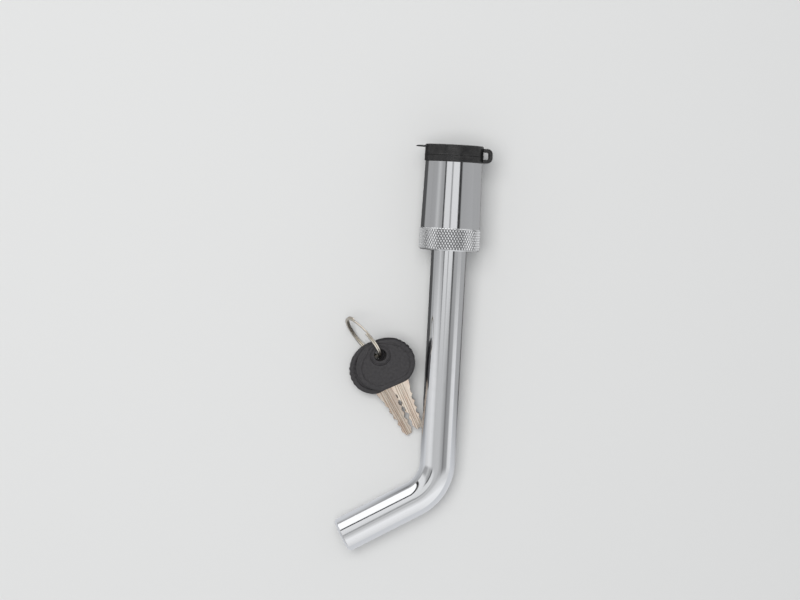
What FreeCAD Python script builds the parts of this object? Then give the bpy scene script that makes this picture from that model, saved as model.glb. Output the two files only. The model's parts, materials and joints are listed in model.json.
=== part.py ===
import FreeCAD, Part
import math
import os
import re

import Sketcher
from FreeCAD import Placement, Rotation, Vector

# A locking hitch pin, in millimetres. The pin's axis is Y, with its free, usable length centred on the
# origin, the lock head at +Y and the bent leg at -X, -Y. The head's pieces are drawn round Z, with
# height zero at the head's mouth, and are then laid along Y. Rest is the unlocked state: jaws drawn
# back, wafers flush, keys beside the pin.

SIZES = (
    # alias, value, what it measures
    ("shank_radius", 7.9375, "a 5/8 inch pin"),
    ("usable_length", 96.4, "straight shank from the head's mouth to the start of the bend"),
    ("bend_radius", 20, "centreline of the bend"),
    ("bend_angle", 60, "degrees the leg turns"),
    ("leg_length", 48, "from where the two centrelines cross to the leg's end"),
    ("end_chamfer", 0.8, "edge break on the pin's two ends"),
    ("turned_radius", 7.6, "shank inside the head"),
    ("neck_radius", 4.3, "neck that the jaws close on"),
    ("neck_low", 10.2, "neck, lower end"),
    ("neck_high", 14.0, "neck, upper end"),
    ("nose_radius", 6.2, "nose above the neck"),
    ("nose_top", 19.5, "end of the pin inside the head"),
    ("collar_radius", 13.75, "knurled collar"),
    ("collar_height", 10, "knurled collar"),
    ("collar_lip", 1.5, "lip at the mouth"),
    ("mouth_radius", 8.3, "opening of the head"),
    ("spigot_radius", 12, "barrel inside the collar"),
    ("barrel_low_radius", 13.35, "barrel above the collar"),
    ("barrel_high_radius", 12.75, "barrel below the cap"),
    ("barrel_top", 39.8, "shoulder that the cap's band sits on"),
    ("cap_spigot_radius", 11.9, "barrel inside the cap"),
    ("cap_spigot_top", 43.2, "end of the barrel"),
    ("bore_radius", 11.25, "large bore, for bush, carrier and cam"),
    ("ledge_low", 23, "ledge between the two bores"),
    ("ledge_high", 24.6, "ledge between the two bores"),
    ("ledge_radius", 7.8, "hole in the ledge"),
    ("shell_bore", 9.5, "upper bore, for the lock cylinder"),
    ("clip_groove_radius", 10.1, "circlip groove in the upper bore"),
    ("clip_groove_low", 41.6, "circlip groove"),
    ("clip_groove_high", 42.7, "circlip groove"),
    ("insert_radius", 11.2, "pieces that slide into the large bore"),
    ("seal_low", 1.6, "mouth seal"),
    ("seal_high", 4.1, "mouth seal"),
    ("seal_hole", 7.65, "mouth seal's lip"),
    ("bush_low", 4.2, "guide bush"),
    ("bush_high", 10.3, "guide bush"),
    ("bush_hole", 7.7, "guide bush"),
    ("carrier_low", 10.4, "jaw carrier"),
    ("carrier_high", 20.2, "jaw carrier"),
    ("carrier_hole", 6.45, "jaw carrier's bore round the nose"),
    ("jaw_slot_width", 12.1, "slot that guides the jaws"),
    ("jaw_slot_height", 3.4, "slot that guides the jaws"),
    ("jaw_low", 10.5, "lower face of a jaw"),
    ("jaw_height", 3.2, "thickness of a jaw"),
    ("jaw_width", 12, "width of a jaw"),
    ("jaw_arc", 6.4, "inner arc of a jaw"),
    ("jaw_outer", 10.9, "outer arc of a jaw"),
    ("jaw_travel", 2, "how far each jaw closes"),
    ("jaw_pin_radius", 1, "pin that stands on a jaw"),
    ("jaw_pin_place", 9.4, "distance of that pin from the axis, jaws open"),
    ("jaw_pin_low", 12, "lower end of that pin"),
    ("jaw_pin_high", 22.6, "upper end of that pin"),
    ("jaw_pin_slot", 2.2, "width of the carrier's slots for the jaw pins"),
    ("cam_radius", 11.1, "cam disc"),
    ("cam_low", 20.4, "cam disc"),
    ("cam_high", 22.9, "cam disc"),
    ("cam_slot", 2.12, "width of the spiral slots"),
    ("square_hole", 5.4, "square hole in the cam disc"),
    ("square_tail", 5.3, "square tail of the key plug"),
    ("dowel_radius", 1, "cross dowels"),
    ("carrier_dowel_height", 17, "dowel through the barrel into the carrier"),
    ("shell_dowel_height", 33, "dowel through the barrel into the cylinder"),
    ("dowel_end", 12.7, "outer end of both dowels, just below the barrel's surface"),
    ("carrier_dowel_root", 9.2, "inner end of the carrier's dowel"),
    ("shell_dowel_root", 8.2, "inner end of the cylinder's dowel"),
    ("shell_radius", 9.45, "lock cylinder"),
    ("shell_low", 24.7, "lock cylinder"),
    ("shell_high", 41.5, "lock cylinder"),
    ("plug_bore", 6, "bore for the key plug"),
    ("plug_radius", 5.95, "key plug"),
    ("flange_radius", 7.5, "key plug's front flange"),
    ("flange_top", 43.4, "key plug's front face"),
    ("clip_seat_radius", 5, "groove for the plug's clip"),
    ("clip_radius", 7.3, "plug's clip"),
    ("plug_clip_low", 23.75, "plug's clip"),
    ("plug_clip_height", 0.8, "plug's clip"),
    ("clip_mouth", 7, "opening of the plug's clip"),
    ("keyway_width", 2.2, "keyway"),
    ("keyway_height", 8.2, "keyway"),
    ("keyway_low", 26, "floor of the keyway"),
    ("wafer_first", 28.6, "middle of the first wafer"),
    ("wafer_pitch", 2.4, "spacing of the wafers"),
    ("wafer_count", 5, "number of wafers"),
    ("wafer_width", 7, "wafer"),
    ("wafer_thickness", 0.9, "wafer"),
    ("wafer_radius", 5.85, "rounded ends of a wafer"),
    ("window_width", 2.6, "window in a wafer for the key"),
    ("window_height", 8.6, "window in a wafer for the key"),
    ("slot_clearance", 0.1, "wafer slot beyond the wafer"),
    ("groove_width", 7.6, "grooves in the cylinder that catch the wafers"),
    ("groove_radius", 7, "depth of those grooves"),
    ("spring_place", 2.75, "wafer spring, distance from the plug's middle"),
    ("spring_floor", 2.4, "wafer spring, floor of its pocket"),
    ("spring_length", 2.96, "wafer spring"),
    ("spring_radius", 0.5, "wafer spring, mean radius"),
    ("spring_wire", 0.13, "wafer spring, wire radius"),
    ("spring_pocket", 0.75, "radius of the spring's pocket"),
    ("circlip_inner", 8.6, "circlip"),
    ("circlip_outer", 10.05, "circlip"),
    ("circlip_low", 41.65, "circlip"),
    ("circlip_height", 1, "circlip"),
    ("circlip_gap", 4, "opening of the circlip"),
    ("cap_radius", 13.2, "rubber cap"),
    ("band_high", 42.5, "band of the cap"),
    ("lid_low", 42.55, "lid of the cap"),
    ("lid_high", 47.3, "lid of the cap"),
    ("lid_hole", 12, "inside of the lid's skirt"),
    ("lid_floor", 45.4, "underside of the lid"),
    ("tab_reach", 4, "lift tab beyond the lid"),
    ("tab_width", 8, "lift tab"),
    ("tab_thickness", 0.7, "lift tab"),
    ("tab_drop", 0.7, "lift tab below the lid's top"),
    ("strap_reach", 3.9, "hinge strap beyond the cap"),
    ("strap_height", 6.5, "hinge strap"),
    ("strap_thickness", 1.7, "hinge strap"),
    ("strap_width", 7, "hinge strap"),
    ("bow_width", 27, "key bow"),
    ("bow_shift", 0.6, "key bow's middle beside the hole"),
    ("bow_length", 22.5, "key bow, along the key"),
    ("bow_drop", 16, "key hole to the bow's flat edge"),
    ("bow_thickness", 4.4, "key bow"),
    ("key_hole", 2.8, "radius of the hole for the ring"),
    ("dish_radius", 4.75, "dish round the hole"),
    ("dish_depth", 0.7, "dish round the hole"),
    ("blade_width", 8.8, "key blade at the bow"),
    ("tip_width", 5.2, "key blade just before its tip"),
    ("blade_shift", 2.8, "key blade's middle beside the hole"),
    ("blade_thickness", 2, "key blade"),
    ("blade_root", 9.5, "key hole to the blade's root inside the bow"),
    ("blade_tip", 39.3, "key hole to the blade's tip"),
    ("rail_width", 1.3, "milled grooves of the blade"),
    ("rail_depth", 0.5, "milled grooves of the blade"),
    ("rail_place", 1.2, "milled grooves, distance from the blade's middle"),
    ("ring_radius", 11, "split ring, mean radius"),
    ("ring_wire_wide", 1.3, "split ring's wire, across the ring"),
    ("ring_wire_high", 0.75, "split ring's wire, along the ring's axis"),
    ("ring_pitch", 0.8, "split ring, one turn"),
    ("ring_turns", 1.85, "split ring"),
)

# Longer than any one piece of the head, for tools that cut right through
REACH = 60

doc = FreeCAD.newDocument("hitch_pin_lock")
sheet = doc.addObject("Spreadsheet::Sheet", "Sizes")
for row, (alias, value, note) in enumerate(SIZES, start=1):
    sheet.set(f"A{row}", note)
    sheet.set(f"B{row}", str(value))
    sheet.setAlias(f"B{row}", alias)
doc.recompute()

size = {alias: float(sheet.get(alias)) for alias, value, note in SIZES}
sub_parts = []


# Shared construction


def on_sheet(expression):
    """An expression written in plain aliases, as one that reads the sheet."""
    return re.sub(r"[a-z_]+", r"Sizes.\g<0>", str(expression))


def bind(item, **sizes):
    for name, expression in sizes.items():
        item.setExpression(name, on_sheet(expression))
    return item


def move(item, x=0, y=0, z=0, rotation=None):
    """Put an object at a place given by three expressions."""
    if rotation is not None:
        item.Placement = Placement(Vector(), rotation)
    for axis, expression in (("x", x), ("y", y), ("z", z)):
        item.setExpression(f"Placement.Base.{axis}", on_sheet(expression))
    return item


def block(label, width, depth, height, x=0, y=0, low=0):
    """A box centred on x and y, standing on low."""
    box = bind(doc.addObject("Part::Box", label), Length=width, Width=depth, Height=height)
    return move(box, f"({x}) - ({width}) / 2", f"({y}) - ({depth}) / 2", low)


def rod(label, radius, length, x=0, y=0, z=0, rotation=None):
    cylinder = doc.addObject("Part::Cylinder", label)
    return move(bind(cylinder, Radius=radius, Height=length), x, y, z, rotation)


def cut(label, base, *tools):
    """Base less each tool in turn."""
    for number, tool in enumerate(tools, start=1):
        last = number == len(tools)
        difference = doc.addObject("Part::Cut", label if last else f"{label}_step_{number}")
        difference.Base = base
        difference.Tool = tool
        base = difference
    return base


def join(label, *pieces):
    fused = doc.addObject("Part::MultiFuse", label)
    fused.Shapes = list(pieces)
    fused.Refine = True
    return fused


def common(label, *pieces):
    shared = doc.addObject("Part::MultiCommon", label)
    shared.Shapes = list(pieces)
    return shared


def fixed_shape(label, shape):
    """A piece whose form needs a curve that neither a sketch nor a primitive makes."""
    feature = doc.addObject("Part::Feature", label)
    feature.Shape = shape
    return feature


def sketch_on(body, role, label):
    sketch = body.newObject("Sketcher::SketchObject", label)
    plane = next(item for item in body.Origin.OriginFeatures if item.Role == role)
    sketch.AttachmentSupport = [(plane, "")]
    sketch.MapMode = "FlatFace"
    return sketch


def draw_outline(sketch, corners):
    """A closed outline of straight edges, each corner placed by two expressions."""
    count = len(corners)
    rough = [
        Vector(20 + 5 * math.cos(math.tau * i / count), 20 + 5 * math.sin(math.tau * i / count), 0)
        for i in range(count)
    ]
    for i in range(count):
        sketch.addGeometry(Part.LineSegment(rough[i], rough[(i + 1) % count]), False)
    for i in range(count):
        sketch.addConstraint(Sketcher.Constraint("Coincident", i, 2, (i + 1) % count, 1))
    for i, (across, up) in enumerate(corners):
        for kind, expression in (("DistanceX", across), ("DistanceY", up)):
            number = sketch.addConstraint(Sketcher.Constraint(kind, -1, 1, i, 1, 20.0))
            name = f"{kind}_{i}"
            sketch.renameConstraint(number, name)
            sketch.setExpression(f"Constraints.{name}", on_sheet(expression))


def turned(label, corners):
    """A turned piece: an outline of (radius, height) corners revolved about Z."""
    body = doc.addObject("PartDesign::Body", label)
    sketch = sketch_on(body, "XZ_Plane", label + "_outline")
    draw_outline(sketch, corners)
    turn = body.newObject("PartDesign::Revolution", label + "_turn")
    turn.Profile = sketch
    turn.ReferenceAxis = (sketch, ["V_Axis"])
    turn.Angle = 360
    body.Tip = turn
    return body


def ring(label, inner, outer, low, high):
    corners = [(inner, low), (outer, low), (outer, high), (inner, high)]
    return turned(label, corners)


def plate(label, role, corners, thickness):
    """A flat piece padded to both sides of its sketch."""
    body = doc.addObject("PartDesign::Body", label)
    sketch = sketch_on(body, role, label + "_outline")
    draw_outline(sketch, corners)
    pad = body.newObject("PartDesign::Pad", label + "_pad")
    pad.Profile = sketch
    pad.Midplane = True
    bind(pad, Length=thickness)
    body.Tip = pad
    return body


def keep(item, node, placement):
    """Name a finished piece and put it in the object's frame."""
    item.Label = node
    item.Placement = placement
    sub_parts.append(item)


# The head is drawn round Z and laid along Y, with its mouth at the end of the usable length
lay_down = Rotation(Vector(1, 0, 0), -90)
mouth = size["usable_length"] / 2
in_head = Placement(Vector(0, mouth, 0), lay_down)
in_head_turned = in_head.multiply(Placement(Vector(), Rotation(Vector(0, 0, 1), 180)))


# Bent pin: a round bar swept along shank, bend and leg, then turned down at the head's end


def bent_pin():
    angle = math.radians(size["bend_angle"])
    radius = size["bend_radius"]
    tangent = radius * math.tan(angle / 2)
    bend_start = Vector(0, -mouth, 0)
    bend_centre = Vector(-radius, -mouth, 0)
    half_turn = Vector(math.cos(angle / 2), -math.sin(angle / 2), 0)
    bend_middle = bend_centre + half_turn * radius
    leg_way = Vector(-math.sin(angle), -math.cos(angle), 0)
    vertex = Vector(0, -mouth - tangent, 0)
    bend_end = vertex + leg_way * tangent
    leg_end = vertex + leg_way * size["leg_length"]

    body = doc.addObject("PartDesign::Body", "pin")
    path = sketch_on(body, "XY_Plane", "pin_path")
    shank_top = Vector(0, mouth, 0)
    path.addGeometry(Part.LineSegment(shank_top, bend_start), False)
    path.addGeometry(Part.Arc(bend_start, bend_middle, bend_end), False)
    path.addGeometry(Part.LineSegment(bend_end, leg_end), False)
    section = sketch_on(body, "XZ_Plane", "pin_section")
    section.AttachmentOffset = Placement(Vector(0, 0, -shank_top.y), Rotation())
    section.addGeometry(Part.Circle(Vector(), Vector(0, 0, 1), size["shank_radius"]), False)
    section.addConstraint(Sketcher.Constraint("Coincident", 0, 3, -1, 1))
    number = section.addConstraint(Sketcher.Constraint("Radius", 0, size["shank_radius"]))
    section.setExpression(f"Constraints[{number}]", on_sheet("shank_radius"))
    pipe = body.newObject("PartDesign::AdditivePipe", "pin_pipe")
    pipe.Profile = section
    pipe.Spine = path
    body.Tip = pipe
    doc.recompute()

    leg_face = min(pipe.Shape.Faces, key=lambda face: face.CenterOfMass.y)
    chamfer = body.newObject("PartDesign::Chamfer", "pin_leg_edge")
    number = 1 + next(i for i, face in enumerate(pipe.Shape.Faces) if face.isSame(leg_face))
    chamfer.Base = (pipe, [f"Face{number}"])
    bind(chamfer, Size="end_chamfer")
    body.Tip = chamfer

    turned_end = turned(
        "pin_turned_end",
        [
            (0, 0),
            ("turned_radius", 0),
            ("turned_radius", "neck_low - end_chamfer"),
            ("turned_radius - end_chamfer", "neck_low"),
            ("neck_radius", "neck_low"),
            ("neck_radius", "neck_high"),
            ("nose_radius", "neck_high"),
            ("nose_radius", "nose_top - end_chamfer"),
            ("nose_radius - end_chamfer", "nose_top"),
            (0, "nose_top"),
        ],
    )
    turned_end.Placement = in_head
    keep(join("pin_whole", body, turned_end), "bent_pin", Placement())


# Casing: barrel, pressed-on collar, mouth seal and guide bush


def casing():
    barrel = turned(
        "barrel",
        [
            ("bore_radius", "collar_lip"),
            ("spigot_radius", "collar_lip"),
            ("spigot_radius", "collar_height"),
            ("barrel_low_radius", "collar_height"),
            ("barrel_high_radius", "barrel_top"),
            ("cap_spigot_radius", "barrel_top"),
            ("cap_spigot_radius", "cap_spigot_top"),
            ("shell_bore", "cap_spigot_top"),
            ("shell_bore", "clip_groove_high"),
            ("clip_groove_radius", "clip_groove_high"),
            ("clip_groove_radius", "clip_groove_low"),
            ("shell_bore", "clip_groove_low"),
            ("shell_bore", "ledge_high"),
            ("ledge_radius", "ledge_high"),
            ("ledge_radius", "ledge_low"),
            ("bore_radius", "ledge_low"),
        ],
    )
    dowels = [dowel_tool("barrel", height, "dowel_radius") for height in DOWEL_HEIGHTS]
    keep(cut("barrel_drilled", barrel, *dowels), "lock_barrel", in_head)

    collar = turned(
        "collar",
        [
            ("mouth_radius", 0),
            ("collar_radius - end_chamfer", 0),
            ("collar_radius", "end_chamfer"),
            ("collar_radius", "collar_height - end_chamfer"),
            ("collar_radius - end_chamfer / 2", "collar_height"),
            ("spigot_radius", "collar_height"),
            ("spigot_radius", "collar_lip"),
            ("mouth_radius", "collar_lip"),
        ],
    )
    keep(collar, "knurled_collar", in_head)

    seal = turned(
        "seal",
        [
            ("insert_radius", "seal_low"),
            ("insert_radius", "seal_high"),
            ("seal_hole + 1", "seal_high"),
            ("seal_hole + 0.6", "seal_low + 0.8"),
            ("seal_hole", "seal_low + 0.5"),
            ("seal_hole", "seal_low"),
        ],
    )
    keep(seal, "mouth_seal", in_head)
    keep(ring("bush", "bush_hole", "insert_radius", "bush_low", "bush_high"), "guide_bush", in_head)


# Cross dowels, driven in from the side that the lock rests on

DOWEL_HEIGHTS = ("carrier_dowel_height", "shell_dowel_height")
SIDEWAYS = Rotation(Vector(1, 0, 0), -90)


def dowel_tool(label, height, radius):
    """A long rod along a dowel's axis, for drilling the pieces it crosses."""
    return rod(f"{label}_{height}", radius, "collar_radius", 0, "plug_bore + 2.1", height, SIDEWAYS)


def dowels():
    for node, height, root in (
        ("carrier_dowel", "carrier_dowel_height", "carrier_dowel_root"),
        ("shell_dowel", "shell_dowel_height", "shell_dowel_root"),
    ):
        dowel = rod(f"{node}_rod", "dowel_radius", f"dowel_end - {root}", 0, root, height, SIDEWAYS)
        keep(join(f"{node}_whole", dowel, dowel_tip(node, height)), node, in_head)


def dowel_tip(node, height):
    """The stepped outer end of a dowel."""
    return rod(f"{node}_tip", "dowel_radius * 0.7", 0.15, 0, "dowel_end", height, SIDEWAYS)


# Jaws, their pins and the carrier that guides them


def jaw_group():
    for side, placement in (("right", in_head), ("left", in_head_turned)):
        disc = rod(f"jaw_disc_{side}", "jaw_outer", "jaw_height", z="jaw_low")
        half = block(
            f"jaw_half_{side}", "jaw_outer", "jaw_width", "jaw_height", "jaw_outer / 2", 0, "jaw_low"
        )
        arc = rod(f"jaw_arc_{side}", "jaw_arc", "2 * jaw_height", z="jaw_low - 1")
        seat = rod(f"jaw_seat_{side}", "jaw_pin_radius", "jaw_height", "jaw_pin_place", 0, "jaw_pin_low")
        blank = common(f"jaw_blank_{side}", disc, half)
        keep(cut(f"jaw_{side}", blank, arc, seat), f"locking_jaw_{side}", placement)

        stem = rod(
            f"jaw_stem_{side}",
            "jaw_pin_radius",
            "jaw_pin_high - jaw_pin_low - 0.2",
            "jaw_pin_place",
            0,
            "jaw_pin_low",
        )
        crown = doc.addObject("Part::Cone", f"jaw_crown_{side}")
        bind(crown, Radius1="jaw_pin_radius", Radius2="jaw_pin_radius - 0.2", Height=0.2)
        move(crown, "jaw_pin_place", 0, "jaw_pin_high - 0.2")
        keep(join(f"jaw_pin_{side}_whole", stem, crown), f"jaw_pin_{side}", placement)

    carrier = ring("carrier", "carrier_hole", "insert_radius", "carrier_low", "carrier_high")
    guide = block("jaw_guide", REACH, "jaw_slot_width", "jaw_slot_height + 1", low="carrier_low - 1")
    pin_slot = block(
        "jaw_pin_slot_tool",
        "2 * (jaw_pin_place + jaw_pin_radius + 0.2)",
        "jaw_pin_slot",
        "carrier_high",
        low="carrier_low",
    )
    drill = dowel_tool("carrier", "carrier_dowel_height", "dowel_radius")
    short_drill = common(
        "carrier_drill",
        drill,
        block("carrier_drill_end", REACH, REACH, REACH, 0, f"carrier_dowel_root + {REACH} / 2", 0),
    )
    keep(cut("carrier_cut", carrier, guide, pin_slot, short_drill), "jaw_carrier", in_head)


# Cam disc: two spiral slots that draw the jaws in as the key turns a quarter


def spiral_slot(start_angle):
    """A slot along an Archimedean spiral, as a solid that cuts through the disc."""
    shrink = size["jaw_travel"] / (math.pi / 2)
    half = size["cam_slot"] / 2
    overrun = math.radians(4)
    steps = 12
    walls = {1: [], -1: []}
    for step in range(steps + 1):
        turn = -overrun + (math.pi / 2 + 2 * overrun) * step / steps
        radius = size["jaw_pin_place"] - shrink * turn
        angle = start_angle - turn
        outward = Vector(math.cos(angle), math.sin(angle), 0)
        onward = Vector(math.sin(angle), -math.cos(angle), 0)
        way = (onward * radius - outward * shrink).normalize()
        across = Vector(-way.y, way.x, 0)
        for side, wall in walls.items():
            wall.append(outward * radius + across * (half * side))
        if step == 0:
            first_cap = outward * radius - way * half
    last_cap = outward * radius + way * half
    edges = []
    for wall in (walls[1], walls[-1]):
        curve = Part.BSplineCurve()
        curve.interpolate(wall)
        edges.append(curve.toShape())
    edges.append(Part.Arc(walls[1][-1], last_cap, walls[-1][-1]).toShape())
    edges.append(Part.Arc(walls[1][0], first_cap, walls[-1][0]).toShape())
    face = Part.Face(Part.Wire(Part.__sortEdges__(edges)))
    face.translate(Vector(0, 0, size["cam_low"] - 1))
    return face.extrude(Vector(0, 0, size["cam_high"] - size["cam_low"] + 2))


def cam_disc():
    disc = rod("cam_blank", "cam_radius", "cam_high - cam_low", z="cam_low")
    square = block("cam_square", "square_hole", "square_hole", REACH, low="cam_low - 1")
    slots = [fixed_shape(f"cam_slot_{i}", spiral_slot(math.pi * i)) for i in range(2)]
    keep(cut("cam", disc, square, *slots), "cam_disc", in_head)


# Lock cylinder: shell, key plug, wafers with their springs, and the two clips


def wafer_heights():
    return [f"wafer_first + {i} * wafer_pitch" for i in range(int(size["wafer_count"]))]


def lock_cylinder():
    shell = ring("shell", "plug_bore", "shell_radius", "shell_low", "shell_high")
    catch_height = "wafer_count * wafer_pitch"
    catch_low = "wafer_first - wafer_pitch / 2"
    catches = (
        block("catch_x", "2 * groove_radius", "groove_width", catch_height, low=catch_low),
        block("catch_y", "groove_width", "2 * groove_radius", catch_height, low=catch_low),
    )
    drill = dowel_tool("shell", "shell_dowel_height", "dowel_radius")
    short_drill = common(
        "shell_drill",
        drill,
        block("shell_drill_end", REACH, REACH, REACH, 0, f"shell_dowel_root + {REACH} / 2", 0),
    )
    keep(cut("shell_cut", shell, *catches, short_drill), "cylinder_shell", in_head)

    turned_plug = turned(
        "plug",
        [
            (0, "ledge_low"),
            ("plug_radius", "ledge_low"),
            ("plug_radius", "plug_clip_low - slot_clearance / 2"),
            ("clip_seat_radius", "plug_clip_low - slot_clearance / 2"),
            ("clip_seat_radius", "plug_clip_low + plug_clip_height + slot_clearance / 2"),
            ("plug_radius", "plug_clip_low + plug_clip_height + slot_clearance / 2"),
            ("plug_radius", "clip_groove_low"),
            ("flange_radius", "clip_groove_low"),
            ("flange_radius", "flange_top - 0.4"),
            ("flange_radius - 0.4", "flange_top"),
            (0, "flange_top"),
        ],
    )
    tail = block("plug_tail", "square_tail", "square_tail", "ledge_low - cam_low", low="cam_low + 0.2")
    plug = join("plug_solid", turned_plug, tail)
    keyway = block("keyway", "keyway_width", "keyway_height", "flange_top", low="keyway_low")
    slots = [
        block(
            f"wafer_slot_{i}",
            "wafer_width + slot_clearance",
            REACH,
            "wafer_thickness + slot_clearance",
            low=f"{middle} - (wafer_thickness + slot_clearance) / 2",
        )
        for i, middle in enumerate(wafer_heights())
    ]
    pockets = [
        rod(
            f"spring_pocket_{i}",
            "spring_pocket",
            REACH,
            "spring_place",
            "-spring_floor",
            middle,
            SIDEWAYS,
        )
        for i, middle in enumerate(wafer_heights())
    ]
    keep(cut("plug_cut", plug, keyway, *slots, *pockets), "key_plug", in_head)

    wafers = []
    for i, middle in enumerate(wafer_heights()):
        low = f"{middle} - wafer_thickness / 2"
        disc = rod(f"wafer_disc_{i}", "wafer_radius", "wafer_thickness", z=low)
        blank = block(f"wafer_blank_{i}", "wafer_width", REACH, "wafer_thickness", low=low)
        window = block(f"wafer_window_{i}", "window_width", "window_height", REACH)
        notch = block(
            f"wafer_notch_{i}",
            "2 * (wafer_width / 2 - spring_place + spring_pocket + 0.1)",
            "spring_length + 0.24",
            REACH,
            "wafer_width / 2",
            "spring_length / 2 - spring_floor - 0.08",
        )
        wafers.append(cut(f"wafer_{i}", common(f"wafer_round_{i}", disc, blank), window, notch))
    group = doc.addObject("Part::Compound", "wafer_group")
    group.Links = wafers
    keep(group, "wafers", in_head)

    springs = Part.Compound([wafer_spring(i) for i in range(int(size["wafer_count"]))])
    keep(fixed_shape("wafer_spring_group", springs), "wafer_springs", in_head)

    clip_high = "plug_clip_low + plug_clip_height"
    clip = ring("plug_clip_ring", "clip_seat_radius", "clip_radius", "plug_clip_low", clip_high)
    clip_mouth = block("plug_clip_mouth", "clip_mouth", REACH, REACH, 0, f"-{REACH} / 2", 0)
    keep(cut("plug_clip_cut", clip, clip_mouth), "plug_clip", in_head)


def wafer_spring(number):
    """A small compression spring along Y, from its pocket's floor to the wafer's ear."""
    length = size["spring_length"] - 2 * size["spring_wire"] - 0.04
    helix = Part.makeHelix(length / 4, length, size["spring_radius"])
    start = Vector(size["spring_radius"], 0, 0)
    section = Part.Wire(Part.makeCircle(size["spring_wire"], start, Vector(0, 1, 0)))
    coil = Part.Wire(helix).makePipeShell([section], True, True)
    coil.rotate(Vector(), Vector(1, 0, 0), -90)
    height = size["wafer_first"] + number * size["wafer_pitch"]
    floor = -size["spring_floor"] + size["spring_wire"] + 0.02
    coil.translate(Vector(size["spring_place"], floor, height))
    return coil


def cylinder_circlip():
    hoop = ring(
        "circlip_hoop", "circlip_inner", "circlip_outer", "circlip_low", "circlip_low + circlip_height"
    )
    gap = block("circlip_gap", "circlip_gap", REACH, REACH, 0, f"{REACH} / 2", 0)
    keep(cut("circlip_cut", hoop, gap), "cylinder_circlip", in_head)


# Rubber cap: a band round the barrel, a lid, and the strap that joins them


def rubber_cap():
    band = turned(
        "band",
        [
            ("cap_spigot_radius", "barrel_top"),
            ("cap_radius - 0.3", "barrel_top"),
            ("cap_radius", "barrel_top + 0.3"),
            ("cap_radius", "band_high - 0.3"),
            ("cap_radius - 0.3", "band_high"),
            ("cap_spigot_radius", "band_high"),
        ],
    )
    keep(band, "cap_band", in_head)

    cup = turned(
        "lid_cup",
        [
            (0, "lid_floor"),
            ("lid_hole", "lid_floor"),
            ("lid_hole", "lid_low"),
            ("cap_radius - 0.3", "lid_low"),
            ("cap_radius", "lid_low + 0.3"),
            ("cap_radius", "lid_high - 0.6"),
            ("cap_radius - 0.6", "lid_high"),
            (0, "lid_high"),
        ],
    )
    tab = block(
        "lid_tab",
        "tab_reach + 1",
        "tab_width",
        "tab_thickness",
        "-(cap_radius + (tab_reach - 1) / 2)",
        0,
        "lid_high - tab_drop - tab_thickness",
    )
    keep(join("lid_whole", cup, tab), "cap_lid", in_head)

    loop = plate(
        "strap_loop",
        "XZ_Plane",
        [
            ("cap_radius - 1", "barrel_top"),
            ("cap_radius + strap_reach - 1.2", "barrel_top"),
            ("cap_radius + strap_reach", "barrel_top + 1.2"),
            ("cap_radius + strap_reach", "barrel_top + strap_height - 1.2"),
            ("cap_radius + strap_reach - 1.2", "barrel_top + strap_height"),
            ("cap_radius - 1", "barrel_top + strap_height"),
        ],
        "strap_width",
    )
    hole = block(
        "strap_hole",
        "2 * (strap_reach - strap_thickness)",
        REACH,
        "strap_height - 2 * strap_thickness",
        "cap_radius",
        0,
        "barrel_top + strap_thickness",
    )
    core = rod("strap_core", "cap_radius", REACH)
    keep(cut("strap_cut", loop, hole, core), "cap_strap", in_head)


# Keys and split ring. They lie beside the pin on the plane that the pin itself rests on, so they are
# placed in that plane: across, along and height, counted from the foot of the origin.


def resting_plane():
    """The plane touched by the collar's mouth edge and the bent leg: its frame in the object's frame."""
    angle = math.radians(size["bend_angle"])
    mouth_to_vertex = size["usable_length"] + size["bend_radius"] * math.tan(angle / 2)
    rise = (size["collar_radius"] - size["shank_radius"]) / mouth_to_vertex
    lean = rise * (1 - math.cos(angle)) / math.sin(angle)
    up = Vector(-lean, rise, 1)
    up.normalize()
    across = (Vector(1, 0, 0) - up * up.x).normalize()
    along = up.cross(across)
    depth = size["collar_radius"] * math.sqrt(1 - up.y**2) - up.y * mouth
    return across, along, up, depth


def on_plane(across, along, height):
    x_way, y_way, up, depth = resting_plane()
    return x_way * across + y_way * along + up * (height - depth)


def direction_on_plane(across, along, height):
    x_way, y_way, up, depth = resting_plane()
    return x_way * across + y_way * along + up * height


def key_placement(hole, heading, tilt, turned_over):
    """Where a key lies: its hole's place, its heading from -Y towards +X, its tip's tilt downwards."""
    heading = math.radians(heading)
    tilt = math.radians(tilt)
    level = (math.sin(heading), -math.cos(heading))
    blade = direction_on_plane(
        level[0] * math.cos(tilt), level[1] * math.cos(tilt), -math.sin(tilt)
    )
    normal = direction_on_plane(
        level[0] * math.sin(tilt), level[1] * math.sin(tilt), math.cos(tilt)
    )
    if turned_over:
        normal = normal * -1
    key_y = blade * -1
    key_x = key_y.cross(normal)
    matrix = FreeCAD.Matrix(
        key_x.x, key_y.x, normal.x, 0,
        key_x.y, key_y.y, normal.y, 0,
        key_x.z, key_y.z, normal.z, 0,
        0, 0, 0, 1,
    )
    return Placement(on_plane(*hole), Placement(matrix).Rotation)


# Hole's place on the resting plane, heading, tilt and which face is up for each key
KEYS = {
    "front": ((-28.6, -0.4, 13.8), 26.6, 15.1, False),
    "rear": ((-31.5, -1.6, 5.9), 31.5, 6.9, True),
}
# Split ring: its middle, the level direction it lies along, and its slope to the resting plane
RING_MIDDLE = (-36.48, 6.77, 11.63)
RING_HEADING = 134
RING_SLOPE = 74.7
# Where its wire starts, counted round the ring from its level direction
RING_START = 87

# Depth of each cut along both of the blade's edges, from the bow to the tip
KEY_CUTS = (0.8, 1.2, 1.0, 1.3, 0.8)


def blade_edge(distance):
    """Half the blade's width at a distance from the hole: it narrows evenly from the bow to the tip."""
    narrowing = "(blade_width - tip_width) / (blade_tip - 3 - bow_drop)"
    return f"(blade_width - {narrowing} * ({distance} - bow_drop)) / 2"


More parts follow.
